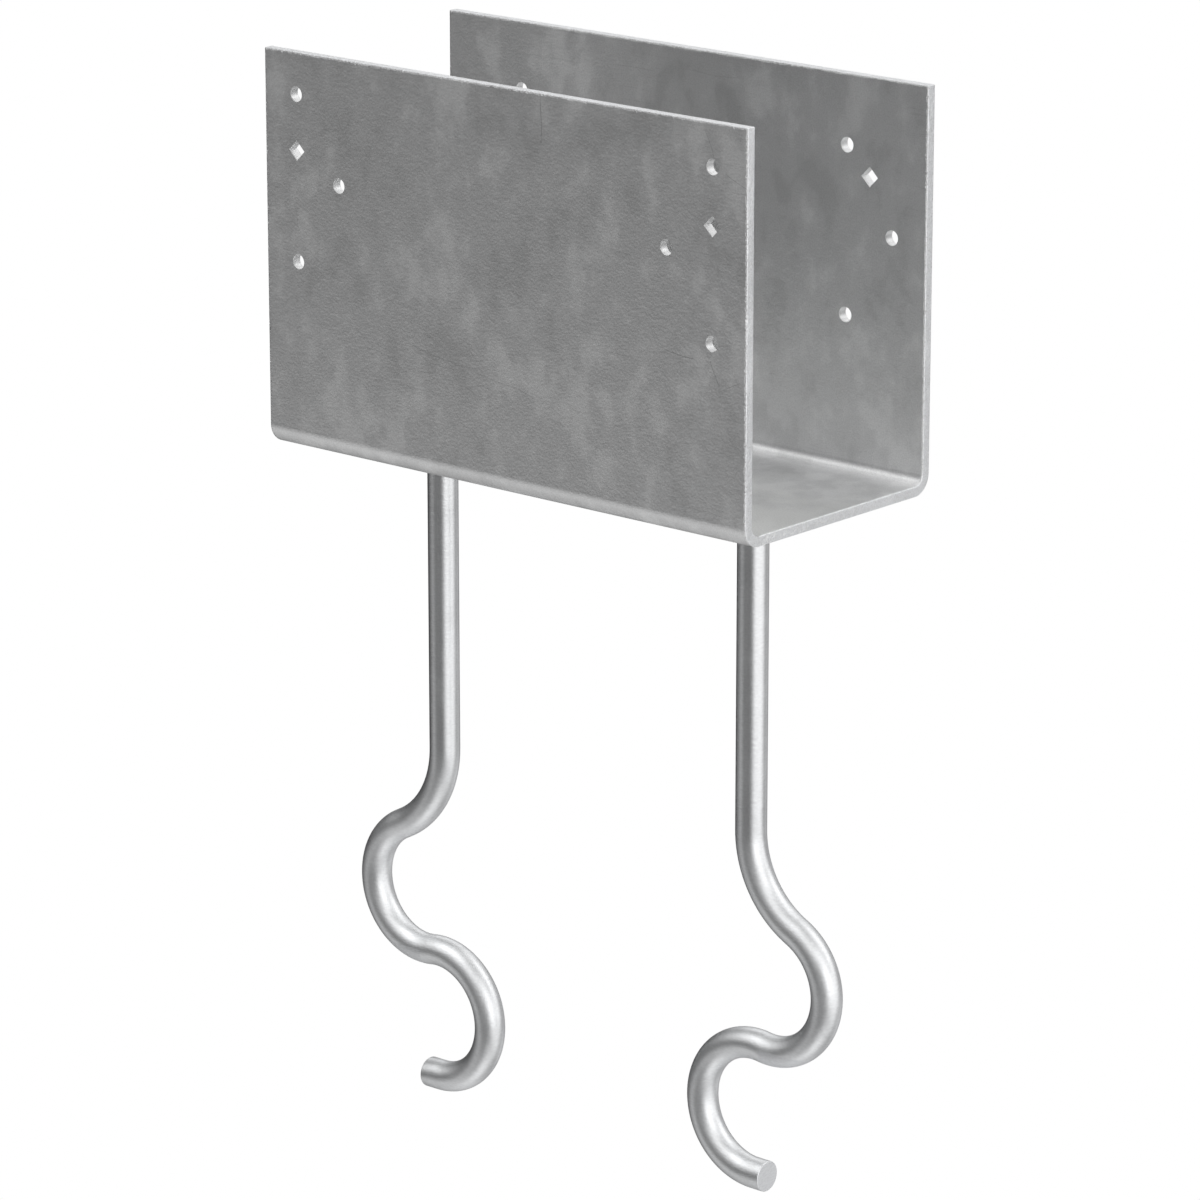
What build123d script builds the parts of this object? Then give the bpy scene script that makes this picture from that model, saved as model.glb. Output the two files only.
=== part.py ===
from build123d import *
import os

# Column cap: a folded steel saddle that holds a timber beam, on two bent rods that are cast
# into the concrete column below it. Millimetres. The origin is the centre of the seat's
# underside, where it lies on the column. X runs along the beam, the front flange is on the
# -Y side and Z is up.

inch = 25.4

# Saddle: one plate folded into a U
plate_thickness = 3 / 16 * inch
saddle_length = 11 * inch
channel_width = 4.625 * inch      # clear width between the flanges
flange_height = 7 * inch          # from the top of the seat to the top of the flanges
inside_bend_radius = 3 / 16 * inch
plate_edge_round = 0.4            # sheared edges, softened by the zinc

# Nail holes are round. The fixing holes beside them are small squares stood on a corner.
nail_hole_diameter = 17 / 64 * inch
square_hole_side = 1 / 4 * inch
square_corner_round = 0.4
hole_edge_round = 0.25

# Front flange. A column of holes is set in from the end, and each hole down from the top edge.
# Every hole is repeated at the other end.
front_outer_column = 0.75 * inch
front_inner_column = 1.75 * inch
front_top_hole = 0.75 * inch
front_square_hole = 1.75 * inch
front_middle_hole = 2.25 * inch
front_low_hole = 3.75 * inch

# Back flange, staggered so that its nails miss those from the front
back_outer_column = 0.75 * inch
back_square_column = 1.25 * inch
back_inner_column = 1.75 * inch
back_top_hole = 1.25 * inch
back_square_hole = 1.75 * inch
back_middle_hole = 2.75 * inch
back_low_hole = 4.25 * inch

# Rods: each drops straight from the seat, swings outwards, folds back under itself and ends
# in a hook. Radii are measured to the middle of the rod.
rod_diameter = 9 / 16 * inch
rod_inset = 1.875 * inch          # from each end of the saddle to the middle of its rod
rod_drop = 150.3
swing_radius = 46.8
swing_angle = 62.2
swing_run = 2.9                   # short straight between the first two bends
fold_radius = 1.218 * inch
fold_angle = 159.9
fold_run = 1.1                    # short straight between the last two bends
hook_radius = 1.218 * inch
tail_length = 7.2
rod_tip_round = 0.5
hook_angle = 90 - swing_angle + fold_angle    # leaves the tail level

# Fillet weld around the top of each rod
weld_leg = 0.25 * inch
weld_crown = 0.9                  # how far the bead bulges past a straight fillet

outside_width = channel_width + 2 * plate_thickness
outside_bend_radius = inside_bend_radius + plate_thickness
overall_height = flange_height + plate_thickness
rod_place = saddle_length / 2 - rod_inset


def saddle_section():
    """The U, with Y across and Z up, in the sketch's own X and Y."""
    outside = Rectangle(outside_width, overall_height, align=(Align.CENTER, Align.MIN))
    outside = fillet(outside.vertices().group_by(Axis.Y)[0], outside_bend_radius)
    inside = Pos(0, plate_thickness) * Rectangle(
        channel_width, flange_height, align=(Align.CENTER, Align.MIN)
    )
    inside = fillet(inside.vertices().group_by(Axis.Y)[0], inside_bend_radius)
    return outside - inside


def folded_plate():
    """The saddle before its holes, with its sheared edges softened."""
    plate = extrude(Plane.YZ * saddle_section(), saddle_length / 2, both=True)
    end_edges = plate.edges().filter_by(Axis.X, reverse=True)
    top_edges = plate.edges().filter_by(Axis.X).group_by(Axis.Z)[-1]
    return fillet(end_edges + top_edges, plate_edge_round)


def round_punch():
    return Rot(90, 0, 0) * Cylinder(nail_hole_diameter / 2, 2 * plate_thickness)


def square_punch():
    punch = Box(square_hole_side, 2 * plate_thickness, square_hole_side)
    punch = fillet(punch.edges().filter_by(Axis.Y), square_corner_round)
    return Rot(0, 45, 0) * punch


def punched_pair(punch, side, from_end, from_top):
    """One punch set at both ends of a flange. side is -1 for the front and 1 for the back."""
    middle_of_flange = side * (channel_width + plate_thickness) / 2
    x = saddle_length / 2 - from_end
    z = overall_height - from_top
    return [Pos(sign * x, middle_of_flange, z) * punch for sign in (-1, 1)]


def all_punches():
    punches = []
    punches += punched_pair(round_punch(), -1, front_outer_column, front_top_hole)
    punches += punched_pair(square_punch(), -1, front_outer_column, front_square_hole)
    punches += punched_pair(round_punch(), -1, front_inner_column, front_middle_hole)
    punches += punched_pair(round_punch(), -1, front_outer_column, front_low_hole)
    punches += punched_pair(round_punch(), 1, back_inner_column, back_top_hole)
    punches += punched_pair(square_punch(), 1, back_square_column, back_square_hole)
    punches += punched_pair(round_punch(), 1, back_outer_column, back_middle_hole)
    punches += punched_pair(round_punch(), 1, back_inner_column, back_low_hole)
    return punches


def saddle():
    plate = folded_plate()
    punched = plate - all_punches()
    rims = new_edges(plate, combined=punched).filter_by(Axis.Y, reverse=True)
    return fillet(rims, hole_edge_round)


def rod_line():
    """The middle line of the right rod, from the seat's underside to the tip of its hook."""
    drop = Line((0, 0), (0, -rod_drop))
    swing = JernArc(drop @ 1, drop % 1, swing_radius, swing_angle)
    first_run = Line(swing @ 1, swing @ 1 + (swing % 1) * swing_run)
    fold = JernArc(first_run @ 1, first_run % 1, fold_radius, -fold_angle)
    second_run = Line(fold @ 1, fold @ 1 + (fold % 1) * fold_run)
    hook = JernArc(second_run @ 1, second_run % 1, hook_radius, hook_angle)
    tail = Line(hook @ 1, hook @ 1 + (hook % 1) * tail_length)
    return Wire([drop, swing, first_run, fold, second_run, hook, tail])


def right_rod():
    line = Plane.XZ * rod_line()
    rod = sweep(Circle(rod_diameter / 2), path=line)
    tip_edge = rod.edges().filter_by(GeomType.CIRCLE).sort_by_distance(line @ 1)[0]
    rod = fillet(tip_edge, rod_tip_round)
    return Pos(rod_place, 0, 0) * rod


def right_weld():
    """A convex fillet bead, from the seat's underside down onto the rod."""
    rod_radius = rod_diameter / 2
    on_seat = Vector(rod_radius + weld_leg, 0)
    on_rod = Vector(rod_radius, -weld_leg)
    corner = Vector(rod_radius, 0)
    crown = (on_seat + on_rod) / 2 + Vector(1, -1).normalized() * weld_crown
    outline = [Line(corner, on_seat), ThreePointArc(on_seat, crown, on_rod), Line(on_rod, corner)]
    bead = revolve(Plane.XZ * make_face(outline), Axis.Z)
    return Pos(rod_place, 0, 0) * bead


def mirrored(shape):
    return mirror(shape, about=Plane.YZ)


parts = {
    "saddle": saddle(),
    "right_rod": right_rod(),
    "left_rod": mirrored(right_rod()),
    "right_weld": right_weld(),
    "left_weld": mirrored(right_weld()),
}

os.makedirs("parts", exist_ok=True)
for name, shape in parts.items():
    export_step(shape, "parts/" + name + ".step")
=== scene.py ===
import bpy
import math
from mathutils import Matrix, Vector


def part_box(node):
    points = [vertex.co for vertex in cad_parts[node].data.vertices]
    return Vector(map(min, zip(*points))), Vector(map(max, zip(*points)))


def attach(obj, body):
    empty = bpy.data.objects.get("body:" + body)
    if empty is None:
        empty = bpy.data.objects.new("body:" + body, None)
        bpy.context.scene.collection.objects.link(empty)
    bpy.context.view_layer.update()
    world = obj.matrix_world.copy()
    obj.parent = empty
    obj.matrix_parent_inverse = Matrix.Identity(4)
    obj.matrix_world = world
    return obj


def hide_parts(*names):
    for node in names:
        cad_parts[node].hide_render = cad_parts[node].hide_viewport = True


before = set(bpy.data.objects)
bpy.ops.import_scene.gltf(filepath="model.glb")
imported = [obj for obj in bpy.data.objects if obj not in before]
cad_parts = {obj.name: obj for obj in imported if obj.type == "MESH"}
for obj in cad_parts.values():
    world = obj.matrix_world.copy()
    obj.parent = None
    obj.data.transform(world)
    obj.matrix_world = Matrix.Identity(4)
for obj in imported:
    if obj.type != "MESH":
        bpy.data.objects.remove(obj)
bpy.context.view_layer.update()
print("frame loaded:", ", ".join(sorted(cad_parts)))

scene = bpy.context.scene
scene.view_settings.view_transform = "Standard"  # the photo's own greys, with no film curve over them


# small helpers for modelling

mergeGap = 0.000002  # points closer than this are made one
nearby = 0.00001  # a point this close to a line or plane counts as on it


def clearSelection():
    if bpy.context.object and bpy.context.object.mode == "EDIT":
        bpy.ops.object.mode_set(mode="OBJECT")
    bpy.ops.object.select_all(action="DESELECT")


def makeActive(piece):
    clearSelection()
    piece.select_set(True)
    bpy.context.view_layer.objects.active = piece


def pickEdges(piece, test):
    # leaves edit mode on, in edge mode, with only the edges whose two ends pass the test
    makeActive(piece)
    bpy.ops.object.mode_set(mode="EDIT")
    bpy.ops.mesh.select_mode(type="EDGE")
    bpy.ops.mesh.select_all(action="DESELECT")
    bpy.ops.object.mode_set(mode="OBJECT")
    points = piece.data.vertices
    for edge in piece.data.edges:
        edge.select = all(test(points[i].co) for i in edge.vertices)
    bpy.ops.object.mode_set(mode="EDIT")


def applyModifier(piece, kind, **values):
    makeActive(piece)
    modifier = piece.modifiers.new(kind.lower(), kind)
    for name, value in values.items():
        setattr(modifier, name, value)
    bpy.ops.object.modifier_apply(modifier=modifier.name)


def applyPlace(piece):
    makeActive(piece)
    bpy.ops.object.transform_apply(location=True, rotation=True, scale=True)


def faceOutwards(piece):
    makeActive(piece)
    bpy.ops.object.mode_set(mode="EDIT")
    bpy.ops.mesh.select_all(action="SELECT")
    bpy.ops.mesh.remove_doubles(threshold=mergeGap)
    bpy.ops.mesh.normals_make_consistent(inside=False)
    bpy.ops.object.mode_set(mode="OBJECT")


def roundEdges(piece, width, steps, sharpFrom):
    # every edge that turns by more than sharpFrom degrees is rounded
    applyModifier(
        piece, "BEVEL", width=width, segments=steps,
        limit_method="ANGLE", angle_limit=math.radians(sharpFrom),
    )


def shadeSoftly(piece, angle):
    makeActive(piece)
    bpy.ops.object.shade_smooth_by_angle(angle=math.radians(angle))
    applyModifier(piece, "WEIGHTED_NORMAL", keep_sharp=True, weight=60)


def mirroredCopy(piece, name):
    copy = piece.copy()
    copy.data = piece.data.copy()
    copy.name = name
    copy.data.name = name
    bpy.context.collection.objects.link(copy)
    copy.data.transform(Matrix.Diagonal((-1, 1, 1, 1)))
    copy.data.flip_normals()
    return copy


# saddle: one plate folded into a U and punched

saddleLow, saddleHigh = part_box("saddle")
saddleSet = {
    "length": saddleHigh.x - saddleLow.x,
    "width": saddleHigh.y - saddleLow.y,
    "height": saddleHigh.z - saddleLow.z,
    "plate": 0.0047625,
    "insideBend": 0.0047625,
    "bendSteps": 16,
    "edgeRound": 0.0005,
    "edgeSteps": 3,
    "rimRound": 0.00025,
    "rimSteps": 2,
    "sharpFrom": 60,  # degrees
    "smoothUpTo": 40,
    "nailHole": 0.00674688,
    "squareHole": 0.00635,
    "holeSides": 64,
    # side of the channel, set in from the end and down from the top, and whether the hole is square
    "holes": [
        (-1, 0.01905, 0.01905, False),
        (-1, 0.01905, 0.04445, True),
        (-1, 0.04445, 0.05715, False),
        (-1, 0.01905, 0.09525, False),
        (1, 0.04445, 0.03175, False),
        (1, 0.03175, 0.04445, True),
        (1, 0.01905, 0.06985, False),
        (1, 0.04445, 0.10795, False),
    ],
}


def foldedPlate(size):
    middleWidth = size["width"] - size["plate"]
    seatMiddle = size["plate"] / 2
    clearSelection()
    bpy.ops.mesh.primitive_plane_add(size=1, location=(0, 0, seatMiddle))
    plate = bpy.context.object
    plate.name = "saddle_plate"
    plate.scale = (size["length"], middleWidth, 1)
    applyPlace(plate)
    rise = size["height"] - seatMiddle
    for side in (-1, 1):  # each flange is pulled up from a long edge of the seat
        pickEdges(plate, lambda p: p.y * side > middleWidth / 2 - nearby and p.z < size["plate"])
        bpy.ops.mesh.extrude_region_move(TRANSFORM_OT_translate={"value": (0, 0, rise)})
        bpy.ops.object.mode_set(mode="OBJECT")
    pickEdges(plate, lambda p: abs(p.y) > middleWidth / 2 - nearby and p.z < size["plate"])
    bpy.ops.mesh.bevel(
        offset=size["insideBend"] + size["plate"] / 2, segments=size["bendSteps"], affect="EDGES"
    )
    bpy.ops.object.mode_set(mode="OBJECT")
    applyModifier(plate, "SOLIDIFY", thickness=size["plate"], offset=0, use_even_offset=True)
    faceOutwards(plate)
    roundEdges(plate, size["edgeRound"], size["edgeSteps"], size["sharpFrom"])
    return plate


def punch(size, x, y, z, square):
    clearSelection()
    depth = size["plate"] * 3  # well through the plate on both sides
    if square:
        bpy.ops.mesh.primitive_cube_add(size=1, location=(x, y, z), rotation=(0, math.pi / 4, 0))
        bpy.context.object.scale = (size["squareHole"], depth, size["squareHole"])
    else:
        bpy.ops.mesh.primitive_cylinder_add(
            vertices=size["holeSides"], radius=size["nailHole"] / 2, depth=depth,
            location=(x, y, z), rotation=(math.pi / 2, 0, 0),
        )
    punchPiece = bpy.context.object
    applyPlace(punchPiece)
    return punchPiece


def punchHoles(plate, size):
    punches = []
    for side, fromEnd, fromTop, square in size["holes"]:
        for end in (-1, 1):
            x = end * (size["length"] / 2 - fromEnd)
            y = side * (size["width"] - size["plate"]) / 2
            punches.append(punch(size, x, y, size["height"] - fromTop, square))
    clearSelection()
    for one in punches:
        one.select_set(True)
    bpy.context.view_layer.objects.active = punches[0]
    bpy.ops.object.join()
    applyModifier(plate, "BOOLEAN", object=punches[0], operation="DIFFERENCE", solver="EXACT")
    bpy.data.objects.remove(punches[0])
    roundEdges(plate, size["rimRound"], size["rimSteps"], size["sharpFrom"])


saddle = foldedPlate(saddleSet)
punchHoles(saddle, saddleSet)
shadeSoftly(saddle, saddleSet["smoothUpTo"])
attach(saddle, "root")
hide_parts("saddle")
print("saddle folded and punched:", len(saddle.data.polygons), "faces")


# rods: round bar, bent three times in one plane

rodLow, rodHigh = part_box("right_rod")
rodSet = {
    "radius": (rodHigh.y - rodLow.y) / 2,
    "place": 0.092075,
    "drop": 0.1503,
    "swingRadius": 0.0468,
    "swingAngle": 62.2,
    "swingRun": 0.0029,
    "foldRadius": 0.0309372,
    "foldAngle": 159.9,
    "foldRun": 0.0011,
    "tail": 0.0072,
    "tipRound": 0.0005,
    "tipSteps": 4,
    "sides": 64,
    "bendStep": 3.0,  # degrees between two rings of a bend
    "smoothUpTo": 40,
}


def bendBar(size, place, heading, radius, angle):
    # spins the selected end ring; a positive angle turns from down towards +X
    turn = 1 if angle > 0 else -1
    side = Vector((-math.sin(heading), 0, math.cos(heading))) * turn
    steps = max(2, round(abs(angle) / size["bendStep"]))
    bpy.ops.mesh.spin(
        steps=steps, angle=-math.radians(angle), center=place + side * radius, axis=(0, -1, 0)
    )
    newHeading = heading + math.radians(angle)
    newSide = Vector((-math.sin(newHeading), 0, math.cos(newHeading))) * turn
    return place + side * radius - newSide * radius, newHeading


def straightBar(place, heading, length):
    step = Vector((math.cos(heading), 0, math.sin(heading))) * length
    bpy.ops.mesh.extrude_region_move(TRANSFORM_OT_translate={"value": step})
    return place + step


def bentRod(size, name):
    # gives the rod and the middle of its sawn tip
    clearSelection()
    place = Vector((size["place"], 0, 0))
    bpy.ops.mesh.primitive_circle_add(
        vertices=size["sides"], radius=size["radius"], fill_type="NGON", location=place
    )
    rod = bpy.context.object
    rod.name = name
    applyPlace(rod)
    bpy.ops.object.mode_set(mode="EDIT")
    bpy.ops.mesh.select_mode(type="FACE")
    bpy.ops.mesh.select_all(action="SELECT")
    heading = -math.pi / 2
    hookAngle = 90 - size["swingAngle"] + size["foldAngle"]  # leaves the tail level
    place = straightBar(place, heading, size["drop"])
    place, heading = bendBar(size, place, heading, size["swingRadius"], size["swingAngle"])
    place = straightBar(place, heading, size["swingRun"])
    place, heading = bendBar(size, place, heading, size["foldRadius"], -size["foldAngle"])
    place = straightBar(place, heading, size["foldRun"])
    place, heading = bendBar(size, place, heading, size["foldRadius"], hookAngle)
    tip = straightBar(place, heading, size["tail"])
    bpy.ops.object.mode_set(mode="OBJECT")
    faceOutwards(rod)
    pickEdges(rod, lambda p: abs(p.x - tip.x) < nearby and p.z < tip.z + 2 * size["radius"])
    bpy.ops.mesh.bevel(offset=size["tipRound"], segments=size["tipSteps"], affect="EDGES")
    bpy.ops.object.mode_set(mode="OBJECT")
    shadeSoftly(rod, size["smoothUpTo"])
    return rod, tip


rightRod, rodTip = bentRod(rodSet, "right_rod_bar")
leftRod = mirroredCopy(rightRod, "left_rod_bar")
for rod, node in ((rightRod, "right_rod"), (leftRod, "left_rod")):
    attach(rod, "root")
    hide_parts(node)
print("rods bent:", len(rightRod.data.polygons), "faces each")


# welds: a rounded bead runs round each rod under the seat, with the ripples of the passes

weldLow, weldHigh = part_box("right_weld")
weldSet = {
    "leg": weldHigh.z - weldLow.z,
    "crown": 0.0009,
    "crownSteps": 8,
    "sides": 120,
    "rippleEvery": 5,  # sides from one ripple to the next
    "rippleDepth": 0.00022,
    "rippleLift": 0.7,  # of its depth
    "rippleFrom": 0.1,  # of the leg, out from the rod
    "rippleTo": 0.95,
    "rippleNear": 0.05,  # of the way to the next ripple
    "smoothUpTo": 60,
}


def beadSection(size, rodRadius):
    # radius and height of each ring, from the toe on the rod out to the toe on the seat
    leg = size["leg"]
    rings = []
    for step in range(size["crownSteps"] + 1):
        t = step / size["crownSteps"]
        bulge = size["crown"] * 4 * t * (1 - t) / math.sqrt(2)
        rings.append((rodRadius + leg * t + bulge, -leg * (1 - t) - bulge))
    return rings


def weldBead(size, rodRadius, place, name):
    rings = beadSection(size, rodRadius)
    rings.append((rodRadius, 0))
    rings.append(rings[0])
    clearSelection()
    radius, height = rings[0]
    bpy.ops.mesh.primitive_circle_add(
        vertices=size["sides"], radius=radius, location=(place, 0, height)
    )
    bead = bpy.context.object
    bead.name = name
    applyPlace(bead)
    bpy.ops.object.mode_set(mode="EDIT")
    bpy.ops.mesh.select_mode(type="EDGE")
    bpy.ops.mesh.select_all(action="SELECT")
    for nextRadius, nextHeight in rings[1:]:
        step = (0, 0, nextHeight - height)
        bpy.ops.mesh.extrude_edges_move(TRANSFORM_OT_translate={"value": step})
        grow = nextRadius / radius
        bpy.ops.transform.resize(value=(grow, grow, 1), center_override=(place, 0, nextHeight))
        radius, height = nextRadius, nextHeight
    bpy.ops.object.mode_set(mode="OBJECT")
    faceOutwards(bead)
    addRipples(bead, size, rodRadius, place)
    shadeSoftly(bead, size["smoothUpTo"])
    return bead


def addRipples(bead, size, rodRadius, place):
    # every few sides the crown of the bead is drawn in a little
    spoke = 2 * math.pi / size["sides"] * size["rippleEvery"]
    crownFrom = rodRadius + size["leg"] * size["rippleFrom"]
    crownTo = rodRadius + size["leg"] * size["rippleTo"]

    def onRipple(p):
        turns = math.atan2(p.y, p.x - place) / spoke
        onSpoke = abs(turns - round(turns)) < size["rippleNear"]
        return onSpoke and crownFrom < math.hypot(p.x - place, p.y) < crownTo

    makeActive(bead)
    bpy.ops.object.mode_set(mode="EDIT")
    bpy.ops.mesh.select_mode(type="VERT")
    bpy.ops.mesh.select_all(action="DESELECT")
    bpy.ops.object.mode_set(mode="OBJECT")
    for point in bead.data.vertices:
        point.select = onRipple(point.co)
    bpy.ops.object.mode_set(mode="EDIT")
    shrink = 1 - size["rippleDepth"] / (rodRadius + size["leg"] / 2)
    bpy.ops.transform.resize(value=(shrink, shrink, 1), center_override=(place, 0, 0))
    bpy.ops.transform.translate(value=(0, 0, size["rippleDepth"] * size["rippleLift"]))
    bpy.ops.object.mode_set(mode="OBJECT")


rightWeld = weldBead(weldSet, rodSet["radius"], rodSet["place"], "right_weld_bead")
leftWeld = mirroredCopy(rightWeld, "left_weld_bead")
for weld, node in ((rightWeld, "right_weld"), (leftWeld, "left_weld")):
    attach(weld, "root")
    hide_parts(node)
print("welds run:", len(rightWeld.data.polygons), "faces each")


# small helpers for shader nodes

def feed(tree, socket, value):
    # a number, colour or place is typed in, and another node's output is linked
    if isinstance(value, (int, float, tuple)):
        socket.default_value = value
    else:
        tree.links.new(value, socket)


def mathNode(tree, operation, *values):
    node = tree.nodes.new("ShaderNodeMath")
    node.operation = operation
    for socket, value in zip(node.inputs, values):
        feed(tree, socket, value)
    return node.outputs[0]


def vectorNode(tree, operation, *values):
    node = tree.nodes.new("ShaderNodeVectorMath")
    node.operation = operation
    for socket, value in zip(node.inputs, values):
        feed(tree, socket, value)
    return node.outputs["Value" if operation in ("DOT_PRODUCT", "LENGTH") else "Vector"]


def timesNode(tree, vector, factor):
    # a place or colour times a number
    node = tree.nodes.new("ShaderNodeVectorMath")
    node.operation = "SCALE"
    feed(tree, node.inputs[0], vector)
    feed(tree, node.inputs["Scale"], factor)
    return node.outputs["Vector"]


def scaledPlace(tree, place, scale, turn=(0, 0, 0)):
    mapping = tree.nodes.new("ShaderNodeMapping")
    mapping.inputs["Scale"].default_value = scale
    mapping.inputs["Rotation"].default_value = [math.radians(t) for t in turn]
    tree.links.new(place, mapping.inputs["Vector"])
    return mapping.outputs["Vector"]


def noiseNode(tree, place, scale, detail=0.0, roughness=0.5):
    noise = tree.nodes.new("ShaderNodeTexNoise")
    feed(tree, noise.inputs["Vector"], place)
    feed(tree, noise.inputs["Scale"], scale)
    feed(tree, noise.inputs["Detail"], detail)
    feed(tree, noise.inputs["Roughness"], roughness)
    return noise.outputs[0]


def rangeNode(tree, value, low, high, newLow=0.0, newHigh=1.0):
    change = tree.nodes.new("ShaderNodeMapRange")
    change.interpolation_type = "SMOOTHSTEP"
    feed(tree, change.inputs["Value"], value)
    feed(tree, change.inputs["From Min"], low)
    feed(tree, change.inputs["From Max"], high)
    feed(tree, change.inputs["To Min"], newLow)
    feed(tree, change.inputs["To Max"], newHigh)
    return change.outputs["Result"]


def mixColour(tree, factor, first, second):
    mix = tree.nodes.new("ShaderNodeMix")
    mix.data_type = "RGBA"
    feed(tree, mix.inputs[0], factor)
    for socket, colour in zip([one for one in mix.inputs if one.type == "RGBA"], (first, second)):
        feed(tree, socket, colour + (1,) if isinstance(colour, tuple) else colour)
    return [one for one in mix.outputs if one.type == "RGBA"][0]


# plain soft studio light: a dome of broad soft lights and a white backdrop.
# each light has its azimuth in degrees from +X towards +Y, its elevation, its tightness, where
# a higher number makes a smaller light, and its strength

studioLight = {
    "lights": [
        (-90, 0, 20, 0.298),
        (-30, 0, 20, 1.734),
        (0, 0, 20, 1.119),
        (30, 0, 20, 1.242),
        (90, 0, 20, 0.578),
        (-165, 32, 20, 0.339),
        (-135, 32, 20, 0.952),
        (-75, 32, 20, 1.027),
        (-45, 32, 20, 0.897),
        (-15, 32, 20, 1.493),
        (45, 32, 20, 1.814),
        (105, 32, 20, 0.857),
        (135, 32, 20, 1.322),
        (-165, -32, 20, 0.287),
        (-135, -32, 20, 0.690),
        (-15, -32, 20, 0.454),
        (15, -32, 20, 0.909),
        (75, -32, 20, 0.849),
        (105, -32, 20, 0.204),
        (-120, 62, 14, 2.164),
        (60, 62, 14, 1.460),
        (-180, -62, 14, 0.358),
        (-120, -62, 14, 0.379),
        (-60, -62, 14, 1.129),
        (0, -62, 14, 0.325),
        (120, -62, 14, 0.710),
    ],
}


def lightWorld(light):
    world = bpy.data.worlds.new("soft_studio")
    scene.world = world
    world.use_nodes = True
    tree = world.node_tree
    tree.nodes.clear()
    direction = tree.nodes.new("ShaderNodeTexCoord").outputs["Generated"]
    total = 0
    for azimuth, elevation, tightness, strength in light["lights"]:
        around, up = math.radians(azimuth), math.radians(elevation)
        middle = (math.cos(around) * math.cos(up), math.sin(around) * math.cos(up), math.sin(up))
        towards = vectorNode(tree, "DOT_PRODUCT", direction, middle)
        fall = mathNode(tree, "MULTIPLY_ADD", towards, tightness, -tightness)
        glow = mathNode(tree, "EXPONENT", fall)
        total = mathNode(tree, "MULTIPLY_ADD", glow, strength, total)
    mix = tree.nodes.new("ShaderNodeMixShader")
    seen = tree.nodes.new("ShaderNodeLightPath").outputs["Is Camera Ray"]
    tree.links.new(seen, mix.inputs[0])
    # the dome lights the part, and the camera sees a white backdrop in its place
    for socket, strength in ((mix.inputs[1], total), (mix.inputs[2], 1)):
        background = tree.nodes.new("ShaderNodeBackground")
        background.inputs["Color"].default_value = (1, 1, 1, 1)
        feed(tree, background.inputs["Strength"], strength)
        tree.links.new(background.outputs[0], socket)
    output = tree.nodes.new("ShaderNodeOutputWorld")
    tree.links.new(mix.outputs[0], output.inputs["Surface"])


lightWorld(studioLight)
print("studio lit with", len(studioLight["lights"]), "soft lights")


# shared effects for the zinc, each a node group that gives masks or heights

def newGroup(name, places, numbers, outputs):
    tree = bpy.data.node_groups.new(name, "ShaderNodeTree")
    for label in places:
        tree.interface.new_socket(label, in_out="INPUT", socket_type="NodeSocketVector")
    for label in numbers:
        tree.interface.new_socket(label, in_out="INPUT", socket_type="NodeSocketFloat")
    for label in outputs:
        tree.interface.new_socket(label, in_out="OUTPUT", socket_type="NodeSocketFloat")
    return tree, tree.nodes.new("NodeGroupInput").outputs, tree.nodes.new("NodeGroupOutput").inputs


cloudSet = {
    "broadScale": 20,
    "broadStretch": (1, 1, 0.9),
    "broadTurn": (0, 20, 0),
    "broadShare": 0.6,
    "patchScale": 74,
    "patchStretch": (1, 1, 0.7),
    "patchTurn": (12, 0, 15),
    "paleFrom": 0.49,
    "paleFull": 0.72,
    "darkFrom": 0.46,
    "darkFull": 0.28,
}


def makeZincClouds(cloud):
    # soft paler clouds and darker smudges of the dipped zinc
    tree, given, made = newGroup("zinc_clouds", ["Place"], [], ["Clouds", "Smudges"])
    broadPlace = scaledPlace(tree, given["Place"], cloud["broadStretch"], cloud["broadTurn"])
    patchPlace = scaledPlace(tree, given["Place"], cloud["patchStretch"], cloud["patchTurn"])
    broad = noiseNode(tree, broadPlace, cloud["broadScale"], detail=1.0)
    patches = noiseNode(tree, patchPlace, cloud["patchScale"], detail=3.0, roughness=0.55)
    centred = mathNode(tree, "SUBTRACT", patches, cloud["broadShare"] / 2)
    lean = mathNode(tree, "MULTIPLY_ADD", broad, cloud["broadShare"], centred)
    tree.links.new(rangeNode(tree, lean, cloud["paleFrom"], cloud["paleFull"]), made["Clouds"])
    tree.links.new(rangeNode(tree, lean, cloud["darkFrom"], cloud["darkFull"]), made["Smudges"])
    return tree


grainSet = {
    "stretch": (0.9, 1, 1),
    "wrinkleScale": 820,
    "wrinkleTurn": (0, 8, 0),
    "wrinkleShare": 0.8,
    "rippleScale": 330,
    "rippleTurn": (0, -14, 0),
    "rippleShare": 0.5,
    "speckleScale": 1500,
}


def makeZincGrain(grain):
    # fine wrinkles of the frozen zinc, as a height and as a faint speckle
    tree, given, made = newGroup("zinc_grain", ["Place"], ["Fineness"], ["Height", "Speckle"])
    wrinklePlace = scaledPlace(tree, given["Place"], grain["stretch"], grain["wrinkleTurn"])
    ripplePlace = scaledPlace(tree, given["Place"], grain["stretch"], grain["rippleTurn"])
    wrinkleScale = mathNode(tree, "MULTIPLY", given["Fineness"], grain["wrinkleScale"])
    rippleScale = mathNode(tree, "MULTIPLY", given["Fineness"], grain["rippleScale"])
    wrinkles = noiseNode(tree, wrinklePlace, wrinkleScale, detail=1.0, roughness=0.6)
    ripples = noiseNode(tree, ripplePlace, rippleScale)
    height = mathNode(tree, "MULTIPLY", wrinkles, grain["wrinkleShare"])
    height = mathNode(tree, "MULTIPLY_ADD", ripples, grain["rippleShare"], height)
    tree.links.new(height, made["Height"])
    tree.links.new(noiseNode(tree, given["Place"], grain["speckleScale"]), made["Speckle"])
    return tree


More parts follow.
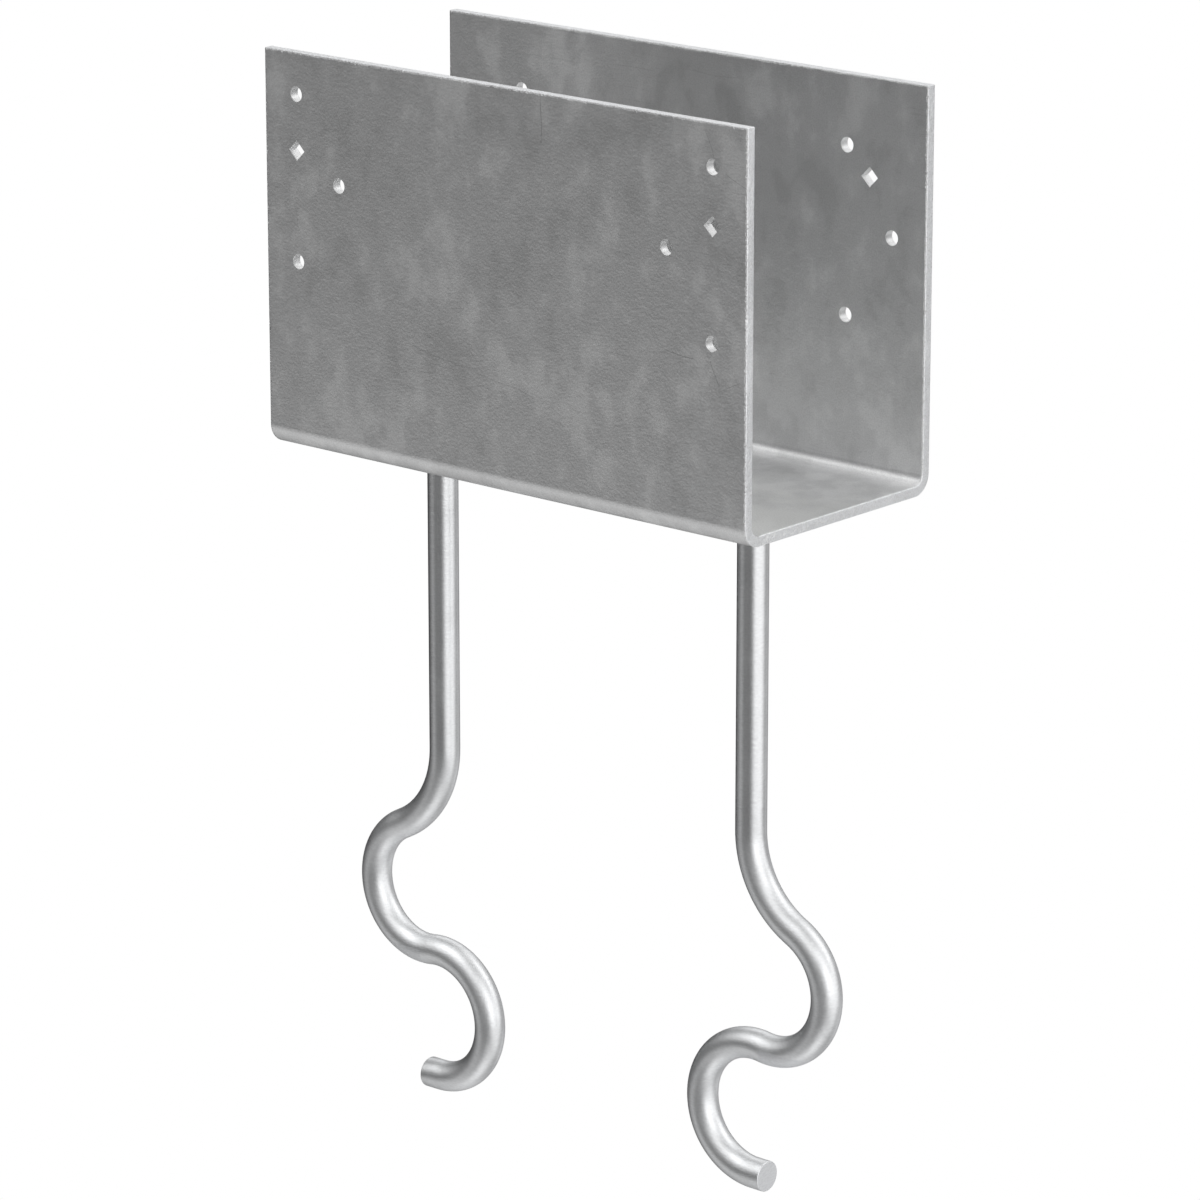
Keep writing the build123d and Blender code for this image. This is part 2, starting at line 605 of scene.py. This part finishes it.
hairlineSet = {
    # how the noise is squeezed and turned for each of two ways that the marks run
    "runs": [((14, 1100, 1100), (5, 17, 7)), ((18, 1200, 1200), (-6, -68, 12))],
    "lineFrom": 0.72,
    "lineFull": 0.82,
    "areaScale": 26,
    "areaFrom": 0.54,
    "areaFull": 0.70,
}


def makeHairlines(hair):
    # thin handling marks, only here and there
    tree, given, made = newGroup("hairlines", ["Place"], [], ["Marks"])
    places = [scaledPlace(tree, given["Place"], stretch, turn) for stretch, turn in hair["runs"]]
    runs = [noiseNode(tree, place, 1.0) for place in places]
    lines = rangeNode(tree, mathNode(tree, "MAXIMUM", *runs), hair["lineFrom"], hair["lineFull"])
    area = noiseNode(tree, given["Place"], hair["areaScale"])
    area = rangeNode(tree, area, hair["areaFrom"], hair["areaFull"])
    tree.links.new(mathNode(tree, "MULTIPLY", lines, area), made["Marks"])
    return tree


scratchSet = {"fade": 0.08}  # a higher number thins a scratch further in from its ends


def makeScratch(thin):
    # one straight scratch between two points, thinner towards its ends
    tree, given, made = newGroup("scratch", ["Place", "From", "To"], ["Width", "Depth"], ["Mark"])
    along = vectorNode(tree, "SUBTRACT", given["To"], given["From"])
    away = vectorNode(tree, "SUBTRACT", given["Place"], given["From"])
    reach = vectorNode(tree, "DOT_PRODUCT", away, along)
    share = mathNode(tree, "DIVIDE", reach, vectorNode(tree, "DOT_PRODUCT", along, along))
    held = mathNode(tree, "MINIMUM", mathNode(tree, "MAXIMUM", share, 0), 1)
    aside = vectorNode(tree, "SUBTRACT", away, timesNode(tree, along, held))
    line = rangeNode(tree, vectorNode(tree, "LENGTH", aside), 0, given["Width"], 1, 0)
    middle = mathNode(tree, "MULTIPLY", share, mathNode(tree, "SUBTRACT", 1, share))
    line = mathNode(tree, "MULTIPLY", line, rangeNode(tree, middle, 0, thin["fade"]))
    tree.links.new(mathNode(tree, "MULTIPLY", line, given["Depth"]), made["Mark"])
    return tree


edgeSet = {
    "rollFrom": 0.0002,
    "rollTo": 0.0008,
    "ragged": 0.0020,
    "raggedScale": 1250,
    "seatTop": 0.0062,  # the pooled zinc lies below this
    "poolFrom": 0.035,
    "poolFull": -0.025,
    "poolDrift": 0.12,
    "poolScale": 30,
}


def placeParts(tree, place):
    split = tree.nodes.new("ShaderNodeSeparateXYZ")
    tree.links.new(place, split.inputs[0])
    return split.outputs


def makePlateEdges(size, edge):
    # how near a point of the plate is to a sheared edge, where the sheared faces are (painted paler,
    # partly their own cut finish and partly a painted highlight for the lit edge strips), and where
    # the zinc lay paler on the seat as it drained
    tree, given, made = newGroup("plate_edges", ["Place"], [], ["Rolled", "ShearedFacesAndHighlight", "Pooled"])
    x, y, z = placeParts(tree, given["Place"])
    fromEnd = mathNode(tree, "SUBTRACT", size["length"] / 2, mathNode(tree, "ABSOLUTE", x))
    fromTop = mathNode(tree, "SUBTRACT", size["height"], z)
    ragged = noiseNode(tree, given["Place"], edge["raggedScale"], detail=1.0, roughness=0.6)
    ragged = mathNode(tree, "MULTIPLY_ADD", ragged, edge["ragged"], -edge["ragged"] / 2)
    gap = mathNode(tree, "ADD", mathNode(tree, "MINIMUM", fromEnd, fromTop), ragged)
    tree.links.new(rangeNode(tree, gap, edge["rollFrom"], edge["rollTo"], 1, 0), made["Rolled"])
    tree.links.new(rangeNode(tree, gap, 0, size["edgeRound"], 1, 0), made["ShearedFacesAndHighlight"])
    drift = noiseNode(tree, given["Place"], edge["poolScale"], detail=3.0, roughness=0.6)
    drift = mathNode(tree, "SUBTRACT", drift, 0.5)
    drifted = mathNode(tree, "MULTIPLY_ADD", drift, edge["poolDrift"], y)
    pooled = rangeNode(tree, drifted, edge["poolFull"], edge["poolFrom"], 1, 0)
    seatEdge = -size["width"] / 2 + size["plate"] + size["insideBend"]
    onSeat = mathNode(
        tree, "MULTIPLY", mathNode(tree, "LESS_THAN", z, edge["seatTop"]),
        mathNode(tree, "GREATER_THAN", y, seatEdge),
    )
    tree.links.new(mathNode(tree, "MULTIPLY", pooled, onSeat), made["Pooled"])
    return tree


barWearSet = {
    "bendFrom": -0.142,
    "bendFull": -0.170,
    "cutBelow": -0.25,
    "cutDepth": 0.0004,
}


def makeBarWear(tip, wear):
    # where the bar was stretched by bending, and where it was cut off
    tree, given, made = newGroup("bar_wear", ["Place"], [], ["Bent", "Cut"])
    at = placeParts(tree, given["Place"])
    bent = rangeNode(tree, at["Z"], wear["bendFull"], wear["bendFrom"], 1, 0)
    tree.links.new(bent, made["Bent"])
    away = mathNode(tree, "ABSOLUTE", at["X"])
    beyond = mathNode(tree, "GREATER_THAN", away, tip.x - wear["cutDepth"])
    low = mathNode(tree, "LESS_THAN", at["Z"], wear["cutBelow"])
    tree.links.new(mathNode(tree, "MULTIPLY", beyond, low), made["Cut"])
    return tree


zincClouds = makeZincClouds(cloudSet)
zincGrain = makeZincGrain(grainSet)
hairlines = makeHairlines(hairlineSet)
scratch = makeScratch(scratchSet)
plateEdges = makePlateEdges(saddleSet, edgeSet)
barWear = makeBarWear(rodTip, barWearSet)
print("shared effects made")


# finishes: the same dipped zinc, duller and more marked on the plate, smoother on the bar

plateFinish = {
    "base": (0.80, 0.8025, 0.805),
    "cloud": (0.93, 0.933, 0.933),
    "smudge": (0.66, 0.663, 0.663),
    "mark": (0.42, 0.425, 0.425),
    "pooled": (0.965, 0.970, 0.955),
    # the sheared faces' colour: partly their own cut finish, partly a painted highlight that makes
    # the lit edge strips paler
    "sheared": (0.91, 0.92, 0.935),
    "rimTint": (1, 1, 1),
    "cloudMix": 0.75,
    "smudgeMix": 0.6,
    "markMix": 0.15,
    "poolMix": 0.9,
    "roughness": 0.38,
    "cloudRoughness": 0.05,
    "grainHeight": 0.00011,
    "edgeHeight": 0.00050,
    "shearedGrain": 1.2,
    "fineness": 1.0,
    "grainStretch": (1, 1, 1),
    "speckle": 0.2,
    # from, to, width and depth of the clearest handling scratches
    "scratches": [
        ((-0.0575, -0.0635, 0.0610), (0.0240, -0.0635, 0.0470), 0.00060, 0.28),
        ((0.0245, -0.0635, 0.1816), (0.0244, -0.0635, 0.1598), 0.00034, 0.65),
        ((0.1156, -0.0635, 0.1785), (0.1217, -0.0635, 0.1669), 0.00036, 0.35),
        ((0.1282, -0.0635, 0.1619), (0.1391, -0.0635, 0.1570), 0.00036, 0.40),
        ((0.0940, -0.0635, 0.0813), (0.1110, -0.0635, 0.0795), 0.00036, 0.80),
        ((0.1201, -0.0635, 0.0802), (0.1256, -0.0635, 0.0689), 0.00034, 0.60),
        ((0.1257, -0.0635, 0.0672), (0.1366, -0.0635, 0.0720), 0.00036, 0.55),
    ],
}

barFinish = {
    "base": (0.855, 0.865, 0.875),
    "cloud": (0.93, 0.94, 0.95),
    "smudge": (0.72, 0.73, 0.74),
    "mark": (0.60, 0.61, 0.62),
    "cut": (0.84, 0.85, 0.865),
    "rimTint": (0.55, 0.55, 0.56),  # how the metal looks where it turns away from the eye
    "cloudMix": 0.4,
    "smudgeMix": 0.4,
    "markMix": 0.25,
    "roughness": 0.32,
    "cloudRoughness": 0.03,
    "bentRoughness": 0.09,
    "cutRoughness": 0.12,
    "grainHeight": 0.00007,
    "fineness": 1.7,
    "grainStretch": (0.4, 0.4, 1),  # finer along the bar than round it
    "speckle": 0.15,
}

beadFinish = {
    "base": (0.72, 0.725, 0.73),
    "cloud": (0.84, 0.845, 0.85),
    "smudge": (0.50, 0.505, 0.505),
    "rimTint": (1, 1, 1),
    "cloudMix": 0.6,
    "smudgeMix": 0.7,
    "roughness": 0.42,
    "cloudRoughness": 0.08,
    "grainHeight": 0.00006,
    "fineness": 1.0,
    "grainStretch": (1, 1, 1),
    "speckle": 0.2,
}

swaySet = {"scale": 45, "reach": (0.004, 0, 0.004)}


def swayedPlace(tree, place, sway):
    # the place of a point, swayed a little so that marks aren't ruler straight
    drift = noiseNode(tree, place, sway["scale"], detail=1.0).node.outputs["Color"]
    centred = vectorNode(tree, "SUBTRACT", drift, (0.5, 0.5, 0.5))
    return vectorNode(tree, "MULTIPLY_ADD", centred, sway["reach"], place)


def useGroup(tree, group, place, **values):
    node = tree.nodes.new("ShaderNodeGroup")
    node.node_tree = group
    tree.links.new(place, node.inputs["Place"])
    for name, value in values.items():
        feed(tree, node.inputs[name], value)
    return node.outputs


def addMarks(tree, finish, place, colour):
    # faint hairlines all over, and the scratches that the finish lists
    swayed = swayedPlace(tree, place, swaySet)
    marks = useGroup(tree, hairlines, swayed)["Marks"]
    markShare = mathNode(tree, "MULTIPLY", marks, finish["markMix"])
    colour = mixColour(tree, markShare, colour, finish["mark"])
    for start, end, width, depth in finish.get("scratches", []):
        line = useGroup(tree, scratch, swayed, From=start, To=end, Width=width, Depth=depth)
        colour = mixColour(tree, line["Mark"], colour, finish["mark"])
    return colour


def zincMaterial(name, finish, edges=None, wear=None):
    material = bpy.data.materials.new(name)
    material.use_nodes = True
    tree = material.node_tree
    shader = tree.nodes["Principled BSDF"]
    shader.inputs["Metallic"].default_value = 1
    shader.inputs["Specular Tint"].default_value = finish["rimTint"] + (1,)
    place = tree.nodes.new("ShaderNodeTexCoord").outputs["Object"]
    clouds = useGroup(tree, zincClouds, place)
    grainPlace = scaledPlace(tree, place, finish["grainStretch"])
    grain = useGroup(tree, zincGrain, grainPlace, Fineness=finish["fineness"])
    cloudShare = mathNode(tree, "MULTIPLY", clouds["Clouds"], finish["cloudMix"])
    smudgeShare = mathNode(tree, "MULTIPLY", clouds["Smudges"], finish["smudgeMix"])
    colour = mixColour(tree, cloudShare, finish["base"], finish["cloud"])
    colour = mixColour(tree, smudgeShare, colour, finish["smudge"])
    if "mark" in finish:
        colour = addMarks(tree, finish, place, colour)
    height = mathNode(tree, "MULTIPLY", grain["Height"], finish["grainHeight"])
    rough = mathNode(
        tree, "MULTIPLY_ADD", clouds["Clouds"], finish["cloudRoughness"], finish["roughness"]
    )
    if edges:
        near = useGroup(tree, edges, place)
        poolShare = mathNode(tree, "MULTIPLY", near["Pooled"], finish["poolMix"])
        colour = mixColour(tree, poolShare, colour, finish["pooled"])
        # the sheared faces are painted paler: partly their own cut finish, partly a painted highlight
        # standing in for the light on the edge strips
        colour = mixColour(tree, near["ShearedFacesAndHighlight"], colour, finish["sheared"])
        coarse = mathNode(tree, "MULTIPLY_ADD", near["ShearedFacesAndHighlight"], finish["shearedGrain"], 1)
        height = mathNode(tree, "MULTIPLY", height, coarse)
        height = mathNode(tree, "MULTIPLY_ADD", near["Rolled"], -finish["edgeHeight"], height)
    if wear:
        worn = useGroup(tree, wear, place)
        colour = mixColour(tree, worn["Cut"], colour, finish["cut"])
        rough = mathNode(tree, "MULTIPLY_ADD", worn["Bent"], finish["bentRoughness"], rough)
        rough = mathNode(tree, "MULTIPLY_ADD", worn["Cut"], finish["cutRoughness"], rough)
    # the speckle goes up and down about the tone of the zinc
    lift = mathNode(
        tree, "MULTIPLY_ADD", grain["Speckle"], finish["speckle"], 1 - finish["speckle"] / 2
    )
    bump = tree.nodes.new("ShaderNodeBump")
    bump.inputs["Strength"].default_value = 1
    bump.inputs["Distance"].default_value = 1
    tree.links.new(height, bump.inputs["Height"])
    tree.links.new(timesNode(tree, colour, lift), shader.inputs["Base Color"])
    tree.links.new(rough, shader.inputs["Roughness"])
    tree.links.new(bump.outputs["Normal"], shader.inputs["Normal"])
    return material


def paint(material, *pieces):
    for piece in pieces:
        piece.data.materials.clear()
        piece.data.materials.append(material)


paint(zincMaterial("zinc_plate", plateFinish, edges=plateEdges), saddle)
paint(zincMaterial("zinc_bar", barFinish, wear=barWear), rightRod, leftRod)
paint(zincMaterial("zinc_bead", beadFinish), rightWeld, leftWeld)
print("finishes painted")


# floor: plain and white, seen by the camera only, so that it takes no light from the part

floorSet = {"size": 12.0, "height": rodLow.z}
clearSelection()
bpy.ops.mesh.primitive_plane_add(size=floorSet["size"], location=(0, 0, floorSet["height"]))
floor = bpy.context.object
floor.name = "floor"
floor.visible_glossy = False
floor.visible_diffuse = False
floor.visible_shadow = False
floorPaint = bpy.data.materials.new("pale_floor")
floorPaint.use_nodes = True
floorShader = floorPaint.node_tree.nodes["Principled BSDF"]
floorShader.inputs["Base Color"].default_value = (0, 0, 0, 1)
floorShader.inputs["Specular IOR Level"].default_value = 0
floorShader.inputs["Emission Color"].default_value = (1, 1, 1, 1)
floorShader.inputs["Emission Strength"].default_value = 1
floor.data.materials.append(floorPaint)
print("floor laid")


# camera: the photo's own view of the part

cameraSet = {
    "place": (1.66632, -1.91835, 0.66720),
    "down": 16.001,
    "turn": 40.924,
    "lens": 176.18,
    "sensor": 36.0,
}
cameraData = bpy.data.cameras.new("photo_camera")
cameraData.lens = cameraSet["lens"]
cameraData.sensor_width = cameraSet["sensor"]
camera = bpy.data.objects.new("photo_camera", cameraData)
camera.location = cameraSet["place"]
camera.rotation_euler = (math.radians(90 - cameraSet["down"]), 0, math.radians(cameraSet["turn"]))
scene.collection.objects.link(camera)
scene.camera = camera
print("camera set")
